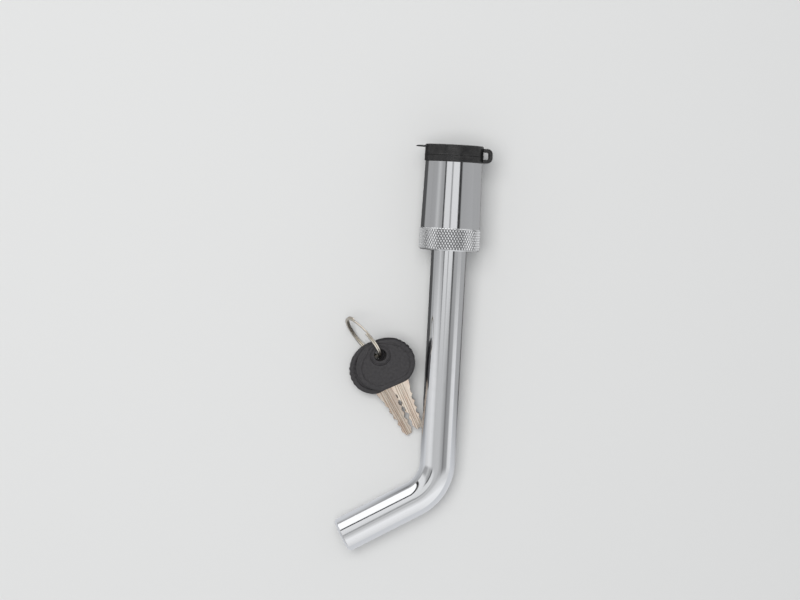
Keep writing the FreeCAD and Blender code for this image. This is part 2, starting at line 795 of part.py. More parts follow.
def blade_outline():
    """The blade's outline: one edge from root to tip with its bitting cuts, and the same turned over."""
    edge = [
        ("blade_width / 2", "blade_root"),
        ("blade_width / 2", "bow_drop"),
    ]
    cut_pitch = 3.4
    for number, depth in enumerate(KEY_CUTS):
        middle = f"(blade_tip - {4.6 + cut_pitch * (len(KEY_CUTS) - 1 - number)})"
        before = f"({middle} - {cut_pitch / 2})"
        edge.append((f"{blade_edge(before)} - 0.3", before))
        edge.append((f"{blade_edge(middle)} - {depth}", f"{middle} - 0.5"))
        edge.append((f"{blade_edge(middle)} - {depth}", f"{middle} + 0.5"))
    edge.append(("tip_width / 2 - 0.2", "blade_tip - 2.6"))
    edge.append(("1.2", "blade_tip"))
    right = [(f"blade_shift + {beside}", f"-({distance})") for beside, distance in edge]
    left = [(f"blade_shift - ({beside})", f"-({distance})") for beside, distance in edge]
    return left + right[::-1]


def key_blade(label):
    blank = plate(f"{label}_blank", "XY_Plane", blade_outline(), "blade_thickness")
    rails = []
    for face, low in (("top", "blade_thickness / 2 - rail_depth"), ("under", "-blade_thickness / 2 - 1")):
        for side in (-1, 1):
            rails.append(
                block(
                    f"{label}_rail_{face}_{side + 1}",
                    "rail_width",
                    "blade_tip - bow_drop + 1",
                    "1 + rail_depth",
                    f"blade_shift + {side} * rail_place - 0.6",
                    "-(blade_tip + bow_drop + 3) / 2",
                    low,
                )
            )
    return cut(label, blank, *rails)


def key_bow(label):
    rim = doc.addObject("Part::Ellipse", f"{label}_rim")
    bind(rim, MajorRadius="bow_width / 2", MinorRadius="bow_length / 2 + 0.6")
    move(rim, "bow_shift", "-bow_drop + bow_length / 2 - 0.6", "-bow_thickness / 2")
    oval = doc.addObject("Part::Extrusion", f"{label}_oval")
    oval.Base = rim
    oval.DirMode = "Custom"
    oval.Dir = Vector(0, 0, 1)
    oval.Solid = True
    bind(oval, LengthFwd="bow_thickness")
    flat = block(f"{label}_flat", REACH, REACH, REACH, 0, f"-bow_drop - {REACH} / 2", -REACH / 2)
    hole = rod(f"{label}_hole", "key_hole", REACH, z=-REACH / 2)
    dishes = [
        rod(f"{label}_dish_top", "dish_radius", REACH, z="bow_thickness / 2 - dish_depth"),
        rod(f"{label}_dish_under", "dish_radius", REACH, z=f"dish_depth - bow_thickness / 2 - {REACH}"),
    ]
    pocket = plate(f"{label}_pocket", "XY_Plane", blade_outline(), "blade_thickness")
    return cut(label, oval, flat, hole, *dishes, pocket)


def keys():
    for name, place in KEYS.items():
        placement = key_placement(*place)
        keep(key_blade(f"blade_{name}"), f"key_blade_{name}", placement)
        keep(key_bow(f"bow_{name}"), f"key_bow_{name}", placement)


def key_ring():
    height = size["ring_pitch"] * size["ring_turns"]
    helix = Part.makeHelix(size["ring_pitch"], height, size["ring_radius"])
    wide = size["ring_wire_wide"] / 2
    high = size["ring_wire_high"] / 2
    middle = size["ring_radius"]
    corners = [
        Vector(middle - wide, 0, -high),
        Vector(middle + wide, 0, -high),
        Vector(middle + wide, 0, high),
        Vector(middle - wide, 0, high),
    ]
    section = Part.makePolygon(corners + corners[:1])
    coil = Part.Wire(helix).makePipeShell([section], True, True)
    centred = Placement(Vector(0, 0, -height / 2), Rotation(Vector(0, 0, 1), RING_START))

    heading = math.radians(RING_HEADING)
    slope = math.radians(RING_SLOPE)
    level = direction_on_plane(math.cos(heading), math.sin(heading), 0)
    rising = direction_on_plane(
        math.sin(heading) * math.cos(slope), -math.cos(heading) * math.cos(slope), math.sin(slope)
    )
    normal = level.cross(rising)
    matrix = FreeCAD.Matrix(
        level.x, rising.x, normal.x, 0,
        level.y, rising.y, normal.y, 0,
        level.z, rising.z, normal.z, 0,
        0, 0, 0, 1,
    )
    placement = Placement(on_plane(*RING_MIDDLE), Placement(matrix).Rotation)
    keep(fixed_shape("ring_coil", coil), "key_ring", placement.multiply(centred))


bent_pin()
casing()
dowels()
jaw_group()
cam_disc()
lock_cylinder()
cylinder_circlip()
rubber_cap()
keys()
key_ring()
doc.recompute()

for item in doc.Objects:
    if "Invalid" in item.State or "Error" in item.State:
        raise RuntimeError(f"{item.Label} failed: {item.State}")
for item in sub_parts:
    if item.Shape.isNull() or not item.Shape.isValid():
        raise RuntimeError(f"{item.Label} has no valid shape")

os.makedirs("parts", exist_ok=True)
for item in sub_parts:
    item.Shape.exportStep(f"parts/{item.Label}.step")
    box = item.Shape.BoundBox
    print(f"{item.Label}: {len(item.Shape.Solids)} solids, {item.Shape.Volume:.1f} mm3, {box}")
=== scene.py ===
import json
import math

import bmesh
import bpy
import numpy as np
from mathutils import Matrix, Vector


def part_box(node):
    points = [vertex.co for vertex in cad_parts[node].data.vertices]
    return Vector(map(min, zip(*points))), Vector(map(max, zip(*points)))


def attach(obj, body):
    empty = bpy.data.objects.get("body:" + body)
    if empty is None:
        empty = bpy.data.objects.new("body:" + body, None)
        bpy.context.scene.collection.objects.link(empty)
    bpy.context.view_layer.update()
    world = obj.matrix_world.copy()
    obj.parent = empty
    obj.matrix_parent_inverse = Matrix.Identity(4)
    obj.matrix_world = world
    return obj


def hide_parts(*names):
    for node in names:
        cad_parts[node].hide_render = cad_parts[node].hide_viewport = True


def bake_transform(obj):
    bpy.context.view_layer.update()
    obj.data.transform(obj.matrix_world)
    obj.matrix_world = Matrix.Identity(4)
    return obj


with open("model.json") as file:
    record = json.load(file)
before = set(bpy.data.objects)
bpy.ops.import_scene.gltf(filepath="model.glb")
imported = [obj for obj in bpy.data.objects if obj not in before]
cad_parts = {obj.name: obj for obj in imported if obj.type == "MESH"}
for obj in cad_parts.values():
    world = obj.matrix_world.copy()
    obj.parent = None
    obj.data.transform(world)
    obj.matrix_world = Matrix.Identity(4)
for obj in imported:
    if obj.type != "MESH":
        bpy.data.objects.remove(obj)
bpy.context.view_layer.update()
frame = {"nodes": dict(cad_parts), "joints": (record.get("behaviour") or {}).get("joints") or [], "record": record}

# Looks of the locking hitch pin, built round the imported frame. Sizes are in millimetres and angles in
# degrees; a mesh becomes metres when its object is made. The pin's axis is Y, with the lock head at +Y.
# Heights in the head are counted along Y from its mouth.

MM = 0.001

BODIES = frame["record"]["behaviour"]["bodies"]
BODY_OF = {node: body for body, nodes in BODIES.items() for node in nodes}
SLOT_OF = {part["node"]: part["material_slot"] for part in frame["record"]["subparts"]}
JOINTS = {joint["name"]: joint for joint in frame["joints"]}


def box(node):
    """Lowest and highest corner of a CAD node, in millimetres."""
    return [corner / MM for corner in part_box(node)]


MOUTH = box("knurled_collar")[0].y
COLLAR_RADIUS = box("knurled_collar")[1].x
COLLAR_HEIGHT = box("knurled_collar")[1].y - MOUTH
SHANK_RADIUS = box("bent_pin")[1].z
USABLE_LENGTH = 2 * MOUTH
BEND_RADIUS = 20
BEND_ANGLE = 60
LEG_LENGTH = 48

X_WAY = np.array((1.0, 0, 0))
Y_WAY = np.array((0, 1.0, 0))
Z_WAY = np.array((0, 0, 1.0))

# Segments round the turned pieces of the head, and degrees from point to point on a rounded corner
TURNED_SEGMENTS = 256
ARC_STEP = 18


# Shared construction


def rounded(corners, closed=True):
    """A profile from (x, y, radius) corners: each corner with a radius becomes an arc."""
    profile = []
    count = len(corners)
    for number, (x, y, radius) in enumerate(corners):
        corner = np.array((x, y), float)
        if radius == 0 or (not closed and number in (0, count - 1)):
            profile.append(corner)
            continue
        back = np.array(corners[number - 1][:2], float) - corner
        ahead = np.array(corners[(number + 1) % count][:2], float) - corner
        back /= np.linalg.norm(back)
        ahead /= np.linalg.norm(ahead)
        half = math.acos(np.clip(back @ ahead, -1, 1)) / 2
        middle = (back + ahead) / np.linalg.norm(back + ahead)
        centre = corner + middle * radius / math.sin(half)
        start = corner + back * radius / math.tan(half) - centre
        turn = math.pi - 2 * half
        if back[0] * ahead[1] - back[1] * ahead[0] > 0:
            turn = -turn
        steps = max(2, round(abs(turn) / math.radians(ARC_STEP)))
        for step in range(steps + 1):
            angle = turn * step / steps
            cosine, sine = math.cos(angle), math.sin(angle)
            spoke = (start[0] * cosine - start[1] * sine, start[0] * sine + start[1] * cosine)
            profile.append(centre + np.array(spoke))
    return np.array(profile)


def grid_faces(rows, columns, loop_rows, caps=False):
    """Quads over rows of points, each row closed on itself; caps close the first and last row."""
    faces = []
    for row in range(rows if loop_rows else rows - 1):
        above = (row + 1) % rows
        for column in range(columns):
            beside = (column + 1) % columns
            faces.append(
                (
                    row * columns + column,
                    row * columns + beside,
                    above * columns + beside,
                    above * columns + column,
                )
            )
    if caps:
        faces.append(tuple(range(columns)))
        faces.append(tuple(range((rows - 1) * columns, rows * columns)))
    return faces


def circle(segments):
    """Points round a circle of radius one."""
    angles = np.arange(segments) * math.tau / segments
    return np.stack([np.cos(angles), np.sin(angles)], axis=1)


def sweep(centres, firsts, seconds, sections):
    """Points of cross-sections carried along a path, each placed by its two directions."""
    rows = [
        centre + np.outer(section[:, 0], first) + np.outer(section[:, 1], second)
        for centre, first, second, section in zip(centres, firsts, seconds, sections)
    ]
    return np.concatenate(rows)


def new_object(name, points, faces):
    """A mesh object in metres from points in millimetres, its faces turned outwards."""
    mesh = bpy.data.meshes.new(name)
    mesh.from_pydata((np.asarray(points) * MM).tolist(), [], faces)
    item = bpy.data.objects.new(name, mesh)
    bpy.context.scene.collection.objects.link(item)
    shell = bmesh.new()
    shell.from_mesh(mesh)
    bmesh.ops.recalc_face_normals(shell, faces=shell.faces)
    shell.to_mesh(mesh)
    shell.free()
    return item


def turned_object(name, profile, closed=True):
    """A (radius, height) profile turned about the head's axis; an open profile gets end caps."""
    ring = np.insert(circle(TURNED_SEGMENTS), 1, 0, axis=1)
    rows = [ring * radius + np.array((0, MOUTH + height, 0)) for radius, height in profile]
    faces = grid_faces(len(profile), TURNED_SEGMENTS, closed, caps=not closed)
    return new_object(name, np.concatenate(rows), faces)


def swept_object(name, centres, firsts, seconds, sections):
    """Cross-sections carried along a path, with both ends closed."""
    faces = grid_faces(len(centres), len(sections[0]), False, caps=True)
    return new_object(name, sweep(centres, firsts, seconds, sections), faces)


def placement(first, second, third, origin):
    """A frame from its three directions and its origin, in metres."""
    place = Matrix((first, second, third)).transposed().to_4x4()
    place.translation = origin
    return place


def combine(item, tool, operation):
    """Boolean with a tool that is used up."""
    step = item.modifiers.new("combine", "BOOLEAN")
    step.operation = operation
    step.solver = "EXACT"
    step.object = tool
    graph = bpy.context.evaluated_depsgraph_get()
    mesh = bpy.data.meshes.new_from_object(item.evaluated_get(graph))
    item.modifiers.remove(step)
    item.data = mesh
    bpy.data.objects.remove(tool)


def smooth(item, sharp_angle=40):
    """Smooth shading with crisp edges, flat faces keeping their own normals."""
    item.data.shade_smooth()
    item.data.set_sharp_from_angle(angle=math.radians(sharp_angle))
    weighted = item.modifiers.new("flats", "WEIGHTED_NORMAL")
    weighted.keep_sharp = True
    weighted.weight = 80


def bevel(item, width, sharp_angle):
    """Take the sharpness off edges, by a width in millimetres."""
    edges = item.modifiers.new("edges", "BEVEL")
    edges.width = width * MM
    edges.segments = 2
    edges.limit_method = "ANGLE"
    edges.angle_limit = math.radians(sharp_angle)


def stand_for(item, node, material, place=None):
    """Make an object the visible form of a CAD node."""
    if place is not None:
        item.matrix_world = place
    item.data.materials.append(material)
    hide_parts(node)
    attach(item, BODY_OF[node])


# Materials. Texture sizes are in millimetres, in the space of each piece.


class Nodes:
    """Short calls for building a node tree."""

    def __init__(self, tree):
        self.tree = tree

    def node(self, kind, **inputs):
        item = self.tree.nodes.new(kind)
        for name, value in inputs.items():
            self.feed(item.inputs[name.replace("_", " ")], value)
        return item

    def feed(self, socket, value):
        if isinstance(value, bpy.types.NodeSocket):
            self.tree.links.new(value, socket)
        else:
            socket.default_value = value

    def math(self, operation, first, second=0.0):
        item = self.tree.nodes.new("ShaderNodeMath")
        item.operation = operation
        self.feed(item.inputs[0], first)
        self.feed(item.inputs[1], second)
        return item.outputs["Value"]

    def remap(self, value, low, high, start=0.35, end=0.65):
        """A value's run from start to end, stretched over low to high."""
        ranged = self.node("ShaderNodeMapRange", Value=value)
        ranged.inputs["From Min"].default_value = start
        ranged.inputs["From Max"].default_value = end
        ranged.inputs["To Min"].default_value = low
        ranged.inputs["To Max"].default_value = high
        return ranged.outputs["Result"]

    def mix(self, share, first, second):
        """Between two colours or grey levels."""
        item = self.tree.nodes.new("ShaderNodeMix")
        item.data_type = "RGBA"
        colours = [socket for socket in item.inputs if socket.type == "RGBA"]
        self.feed(item.inputs[0], share)
        for socket, value in zip(colours, (first, second)):
            self.feed(socket, (*value, 1) if isinstance(value, tuple) else value)
        return next(socket for socket in item.outputs if socket.type == "RGBA")

    def ramp(self, value, stops):
        """A grey level that follows a value through (value, level) stops."""
        low, high = stops[0][0], stops[-1][0]
        item = self.node("ShaderNodeValToRGB", Fac=self.remap(value, 0, 1, low, high))
        elements = item.color_ramp.elements
        elements[0].color = (*[stops[0][1]] * 3, 1)
        elements[-1].color = (*[stops[-1][1]] * 3, 1)
        for place, level in stops[1:-1]:
            elements.new((place - low) / (high - low)).color = (level, level, level, 1)
        return item.outputs["Color"]


class Finish(Nodes):
    """A material being built round a Principled surface."""

    def __init__(self, name, colour, metallic, roughness):
        self.material = bpy.data.materials.new(name)
        self.material.use_nodes = True
        super().__init__(self.material.node_tree)
        self.surface = self.tree.nodes["Principled BSDF"]
        self.surface.inputs["Base Color"].default_value = (*colour, 1)
        self.surface.inputs["Metallic"].default_value = metallic
        self.surface.inputs["Roughness"].default_value = roughness

    def place(self, stretch=(1, 1, 1)):
        """Coordinates in millimetres, divided by the stretch along each axis."""
        coordinates = self.node("ShaderNodeTexCoord").outputs["Object"]
        scale = [1 / (MM * amount) for amount in stretch]
        return self.node("ShaderNodeMapping", Vector=coordinates, Scale=scale).outputs["Vector"]

    def noise(self, size, detail, stretch=(1, 1, 1)):
        """Cloudy pattern with patches of about a size."""
        place = self.place(stretch)
        texture = self.node("ShaderNodeTexNoise", Vector=place, Scale=1 / size, Detail=detail)
        return texture.outputs["Fac"]

    def cells(self, size):
        """Pebbled pattern with cells of about a size."""
        texture = self.node("ShaderNodeTexVoronoi", Vector=self.place(), Scale=1 / size)
        return texture.outputs["Distance"]

    def roughness(self, value, low, high, start=0.35, end=0.65):
        """Roughness between two levels as a texture goes from start to end."""
        self.feed(self.surface.inputs["Roughness"], self.remap(value, low, high, start, end))

    def colour(self, value, first, second, start=0.35, end=0.65):
        """Colour between two tones as a texture goes from start to end."""
        tone = self.mix(self.remap(value, 0, 1, start, end), first, second)
        self.feed(self.surface.inputs["Base Color"], tone)

    def bump(self, value, depth):
        """Add relief of a depth in millimetres on top of any earlier relief."""
        relief = self.node("ShaderNodeBump", Height=value, Strength=1.0, Distance=depth * MM)
        normal = self.surface.inputs["Normal"]
        if normal.is_linked:
            self.feed(relief.inputs["Normal"], normal.links[0].from_socket)
        self.feed(normal, relief.outputs["Normal"])


# Stretch that draws a texture out across the pin's axis, as marks left by a lathe
ROUND_PIN = (40, 1, 40)
# The part of the knurl's groove depth over which the plating goes from bright to dull: painted shade darkens its
# colour there and its roughness rises
GROOVE_FROM, GROOVE_TO = 0.3, 0.95


def chrome(name, colour, low, high, waviness):
    """Bright plating: uneven polish, slight waves along the pin and faint marks round it."""
    finish = Finish(name, colour, 1, low)
    finish.roughness(finish.noise(3, 5), low, high)
    finish.bump(finish.noise(9, 1, (1, 6, 1)), waviness)
    finish.bump(finish.noise(0.35, 2, ROUND_PIN), 0.0004)
    return finish.material


def knurled_chrome(name):
    """Plating that is bright on the knurl's points, with painted shade darkening it and a rougher finish down in
    its grooves.
    """
    finish = Finish(name, (0.86, 0.87, 0.88), 1, 0.2)
    depth = finish.node("ShaderNodeAttribute")
    depth.attribute_name = "groove"
    # The grooves' darker tone is painted shade, deeper with the groove's depth
    bright, painted_groove_shade = (0.92, 0.93, 0.94), (0.24, 0.24, 0.25)
    finish.colour(depth.outputs["Fac"], bright, painted_groove_shade, GROOVE_FROM, GROOVE_TO)
    finish.roughness(depth.outputs["Fac"], 0.16, 0.4, GROOVE_FROM, GROOVE_TO)
    finish.bump(finish.noise(0.3, 3), 0.004)
    return finish.material


def machined(name, dark, light, low, high, depth=0.01):
    """Turned or ground metal, with fine marks round the axis and uneven tarnish."""
    finish = Finish(name, light, 1, low)
    finish.colour(finish.noise(2.2, 5), dark, light)
    finish.roughness(finish.noise(0.9, 4), low, high)
    finish.bump(finish.noise(0.12, 2, ROUND_PIN), depth)
    return finish.material


def rubber(name, dark, light, low, high):
    """Moulded rubber: a fine, slightly uneven skin."""
    finish = Finish(name, dark, 0, low)
    finish.colour(finish.noise(1.6, 6), dark, light)
    finish.roughness(finish.noise(0.5, 5), low, high)
    finish.bump(finish.noise(0.12, 3), 0.012)
    finish.bump(finish.noise(4, 2), 0.03)
    return finish.material


def moulded_plastic(name):
    """Spark-eroded texture of a moulded key bow."""
    finish = Finish(name, (0.03, 0.028, 0.03), 0, 0.5)
    finish.colour(finish.noise(1.1, 6), (0.024, 0.0225, 0.024), (0.038, 0.036, 0.038))
    finish.roughness(finish.noise(0.3, 4), 0.42, 0.6)
    finish.bump(finish.cells(0.26), 0.022)
    finish.bump(finish.noise(0.09, 3), 0.012)
    return finish.material


def key_metal(name):
    """Nickel-plated brass, milled along the blade and scuffed by use."""
    finish = Finish(name, (0.8, 0.7, 0.6), 1, 0.2)
    finish.colour(finish.noise(1.8, 5, (1, 4, 1)), (0.74, 0.6, 0.5), (0.86, 0.78, 0.68))
    finish.roughness(finish.noise(0.6, 5, (1, 12, 1)), 0.14, 0.34)
    finish.bump(finish.noise(0.1, 3, (1, 40, 1)), 0.012)
    finish.bump(finish.noise(0.5, 4), 0.006)
    return finish.material


MATERIALS = {
    "pin_chrome": chrome("pin_chrome", (0.8, 0.81, 0.83), 0.05, 0.11, 0.006),
    "barrel_chrome": chrome("barrel_chrome", (0.78, 0.79, 0.81), 0.05, 0.1, 0.006),
    "collar_chrome": knurled_chrome("collar_chrome"),
    "seal_rubber": rubber("seal_rubber", (0.018, 0.018, 0.018), (0.03, 0.03, 0.03), 0.5, 0.65),
    "cap_rubber": rubber("cap_rubber", (0.01, 0.01, 0.0105), (0.02, 0.0195, 0.019), 0.2, 0.36),
    "bush_bronze": machined("bush_bronze", (0.5, 0.3, 0.14), (0.66, 0.44, 0.24), 0.3, 0.5),
    "inner_steel": machined("inner_steel", (0.42, 0.42, 0.43), (0.58, 0.58, 0.59), 0.25, 0.4),
    "jaw_steel": machined("jaw_steel", (0.3, 0.3, 0.32), (0.44, 0.44, 0.46), 0.22, 0.38),
    "spring_steel": machined("spring_steel", (0.16, 0.16, 0.18), (0.3, 0.3, 0.32), 0.25, 0.4),
    "plug_brass": machined("plug_brass", (0.6, 0.43, 0.19), (0.79, 0.62, 0.33), 0.2, 0.34),
    "shell_zinc": machined("shell_zinc", (0.46, 0.47, 0.48), (0.64, 0.65, 0.66), 0.35, 0.5),
    "ring_nickel": chrome("ring_nickel", (0.86, 0.8, 0.7), 0.12, 0.24, 0.004),
    "blade_nickel": key_metal("blade_nickel"),
    "bow_plastic": moulded_plastic("bow_plastic"),
}


# Bent pin: one bar along shank, bend and leg, with its turned neck and nose inside the head


def pin_path(distance):
    """Centre and in-plane direction of the bar, at a distance below the head's mouth."""
    past_shank = distance - USABLE_LENGTH
    bend_length = BEND_RADIUS * math.radians(BEND_ANGLE)
    turn = min(max(past_shank, 0), bend_length) / BEND_RADIUS
    outward = np.array((math.cos(turn), -math.sin(turn), 0))
    onward = np.array((-math.sin(turn), -math.cos(turn), 0))
    centre = np.array((-BEND_RADIUS, -MOUTH, 0)) + outward * BEND_RADIUS
    straight = min(past_shank, 0) + max(past_shank - bend_length, 0)
    return centre + onward * straight, outward


def bent_pin():
    """The bar's profile in (distance, radius) from nose to leg end, carried along its path."""
    tangent = BEND_RADIUS * math.tan(math.radians(BEND_ANGLE / 2))
    bend_length = BEND_RADIUS * math.radians(BEND_ANGLE)
    end = USABLE_LENGTH + bend_length + LEG_LENGTH - tangent
    profile = rounded(
        [
            (-19.5, 0.5, 0),
            (-19.5, 5.4, 0.2),
            (-18.7, 6.2, 0.2),
            (-14, 6.2, 0.2),
            (-14, 4.3, 0.3),
            (-10.2, 4.3, 0.3),
            (-10.2, 6.8, 0.2),
            (-9.4, 7.6, 0.2),
            (-0.1, 7.6, 0),
            (0, SHANK_RADIUS, 0.05),
            (end - 0.8, SHANK_RADIUS, 0.6),
            (end, SHANK_RADIUS - 0.8, 0.3),
            (end, 0.5, 0),
        ],
        closed=False,
    )
    stations = list(profile)
    bend_steps = 48
    for step in range(bend_steps + 1):
        distance = USABLE_LENGTH + bend_length * step / bend_steps
        stations.append(np.array((distance, SHANK_RADIUS)))
    # The bend's stations go to their places; the nose's first point stays first whatever its rounding
    stations[1:] = sorted(stations[1:], key=lambda station: station[0])
    round_section = circle(160)
    places = [pin_path(distance) for distance, radius in stations]
    centres = [centre for centre, outward in places]
    outwards = [outward for centre, outward in places]
    sections = [round_section * radius for distance, radius in stations]
    item = swept_object("pin_bar", centres, outwards, [Z_WAY] * len(stations), sections)
    smooth(item)
    stand_for(item, "bent_pin", MATERIALS["pin_chrome"])


# Casing


def lock_barrel():
    """A tapered shell, bored from both ends, with a circlip groove and two dowel holes."""
    spigot, carrier_bore, web_bore = 12, 11.25, 7.8
    cylinder_bore, circlip_groove, band_seat = 9.5, 10.1, 11.9
    profile = rounded(
        [
            (carrier_bore, 1.5, 0.2),
            (spigot, 1.5, 0.2),
            (spigot, 10, 0),
            (13.35, 10, 0.15),
            (12.75, 39.8, 0.2),
            (band_seat, 39.8, 0),
            (band_seat, 43.2, 0.25),
            (cylinder_bore, 43.2, 0.3),
            (cylinder_bore, 42.7, 0),
            (circlip_groove, 42.7, 0),
            (circlip_groove, 41.6, 0),
            (cylinder_bore, 41.6, 0),
            (cylinder_bore, 24.6, 0),
            (web_bore, 24.6, 0.15),
            (web_bore, 23, 0.15),
            (carrier_bore, 23, 0),
        ]
    )
    item = turned_object("barrel_body", profile)
    drill_from, drill_to = -16, -8
    for node in ("carrier_dowel", "shell_dowel"):
        low, high = box(node)
        middle = (low.y + high.y) / 2
        hole = circle(48) * ((high.x - low.x) / 2)
        centres = [np.array((0, middle, depth)) for depth in (drill_from, drill_to)]
        drill = swept_object("drill", centres, [X_WAY] * 2, [Y_WAY] * 2, [hole] * 2)
        combine(item, drill, "DIFFERENCE")
    smooth(item)
    stand_for(item, "lock_barrel", MATERIALS["barrel_chrome"])


def knurled_collar():
    """Two crossing families of grooves leave small pyramids; the chamfers cut their ends off."""
    starts = 64
    columns_per_start = 8
    columns = starts * columns_per_start
    rows = 36
    groove_depth = 0.38
    groove_half_width = 0.375
    mouth_chamfer, back_chamfer = 0.8, 0.4
    column = np.arange(columns)
    outer, grooves = [], []
    for row in range(rows + 1):
        height = COLLAR_HEIGHT * row / rows
        right_hand = (column + row) / columns_per_start
        left_hand = (column - row) / columns_per_start
        to_groove = np.minimum(
            np.abs(right_hand - np.round(right_hand)), np.abs(left_hand - np.round(left_hand))
        )
        sunk = 1 - np.minimum(1, to_groove / groove_half_width)
        knurl = COLLAR_RADIUS - groove_depth * sunk
        chamfer = min(
            COLLAR_RADIUS - mouth_chamfer + height,
            COLLAR_RADIUS - back_chamfer + (COLLAR_HEIGHT - height) / 2,
        )
        outer.append((np.minimum(knurl, chamfer), height))
        grooves.append(np.where(knurl < chamfer, sunk, 0))
    inside = rounded(
        [
            (12.9, 10, 0),
            (12, 10, 0.2),
            (12, 1.5, 0),
            (8.3, 1.5, 0.2),
            (8.3, 0, 0.4),
            (12.5, 0, 0),
        ],
        closed=False,
    )
    rings = outer + [(np.full(columns, radius), height) for radius, height in inside]
    angles = column * math.tau / columns
    radii = np.array([radius for radius, height in rings])
    heights = np.array([height for radius, height in rings])
    points = np.stack(
        [
            radii * np.cos(angles),
            np.repeat(heights[:, None], columns, axis=1) + MOUTH,
            radii * np.sin(angles),
        ],
        axis=2,
    ).reshape(-1, 3)
    faces = []
    for quad in grid_faces(len(rings), columns, True):
        row = quad[0] // columns
        if row >= rows:
            faces.append(quad)
            continue
        reach = [radii.flat[corner] for corner in quad]
        if reach[0] + reach[2] <= reach[1] + reach[3]:
            faces += [(quad[0], quad[1], quad[2]), (quad[0], quad[2], quad[3])]
        else:
            faces += [(quad[1], quad[2], quad[3]), (quad[1], quad[3], quad[0])]
    item = new_object("collar_knurled", points, faces)
    # Groove depth at each point, which the collar's material turns into painted shade
    layer = item.data.attributes.new("groove", "FLOAT", "POINT")
    layer.data.foreach_set("value", np.append(grooves, np.zeros((len(inside), columns))))
    smooth(item, 24)
    stand_for(item, "knurled_collar", MATERIALS["collar_chrome"])


# Rubber cap: band, hinged lid with its lift tab, and the strap that joins them


def cap_band():
    """The cap's fixed ring, pushed over the barrel's end."""
    profile = rounded(
        [
            (11.9, 39.8, 0),
            (13.2, 39.8, 0.3),
            (13.2, 41.9, 0.12),
            (13.3, 42.1, 0.12),
            (13.3, 42.5, 0.18),
            (11.9, 42.5, 0),
        ]
    )
    item = turned_object("cap_ring", profile)
    smooth(item)
    stand_for(item, "cap_band", MATERIALS["cap_rubber"])


def cap_lid():
    """The turned lid with its raised lip, and its tab."""
    profile = rounded(
        [
            (1, 45.4, 0),
            (12, 45.4, 0.3),
            (12, 42.55, 0.2),
            (13.3, 42.55, 0.18),
            (13.3, 43, 0.12),
            (13.15, 43.2, 0.12),
            (13.15, 47.3, 0.55),
            (11.4, 47.3, 0.3),
            (11.1, 47, 0.3),
            (1, 47, 0),
        ],
        closed=False,
    )
    item = turned_object("cap_top", profile, closed=False)
    smooth(item)
    stand_for(item, "cap_lid", MATERIALS["cap_rubber"])
    lid_tab()


def lid_tab():
    """A thin tongue with rounded corners, thinner towards its tip, with three grip ridges."""
    low, high = box("cap_lid")
    root, tip = -12.2, low.x
    half_width = 4
    thickness = 0.7
    top = high.y - 0.7
    tip_narrowing, tip_rounding = 0.3, 2.2
    outline = rounded(
        [
            (root, -half_width, 0),
            (tip, -half_width + tip_narrowing, tip_rounding),
            (tip, half_width - tip_narrowing, tip_rounding),
            (root, half_width, 0),
        ]
    )
    tip_thinning = 0.25
    centre = np.array(((root + tip) / 2, 0))
    edge = [(1, 0), (0.4, 0), (0.12, 0.08), (0, 0.3), (0, 0.4), (0.12, 0.62), (0.4, 0.7), (1, 0.7)]
    points = []
    for inset, height in edge:
        inward = centre - outline
        inward /= np.linalg.norm(inward, axis=1)[:, None]
        ring = outline + inward * inset
        thin = 1 - tip_thinning * np.clip((root - ring[:, 0]) / (root - tip), 0, 1)
        level = top - thickness / 2 + (height - thickness / 2) * thin
        points += [(x, y, z) for (x, z), y in zip(ring, level)]
    faces = grid_faces(len(edge), len(outline), False, caps=True)
    item = new_object("cap_tab", points, faces)
    smooth(item)
    join_lid(item)
    ridge_count, first_ridge, ridge_pitch = 3, 1.1, 0.8
    ridge_sizes, ridge_rounding, ridge_sink = (0.32, 0.24, 5.2), 0.11, 0.02
    for number in range(ridge_count):
        middle = (tip + first_ridge + ridge_pitch * number, top - ridge_sink, 0)
        join_lid(bar(f"cap_tab_ridge_{number}", middle, ridge_sizes, ridge_rounding))


def join_lid(item):
    """Make a small piece part of the rubber lid."""
    item.data.materials.append(MATERIALS["cap_rubber"])
    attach(item, BODY_OF["cap_lid"])


def bar(name, middle, sizes, radius):
    """A small bar along Z with rounded edges."""
    wide, high, long = sizes
    section = rounded(
        [
            (-wide / 2, -high / 2, radius),
            (wide / 2, -high / 2, radius),
            (wide / 2, high / 2, radius),
            (-wide / 2, high / 2, radius),
        ]
    )
    taper, end_scale = 0.1, 0.5
    half = long / 2
    ends = [(-half, end_scale), (-half + taper, 1), (half - taper, 1), (half, end_scale)]
    centres = [np.array(middle) + np.array((0, 0, offset)) for offset, scale in ends]
    sections = [section * scale for offset, scale in ends]
    item = swept_object(name, centres, [X_WAY] * len(ends), [Y_WAY] * len(ends), sections)
    smooth(item)
    return item


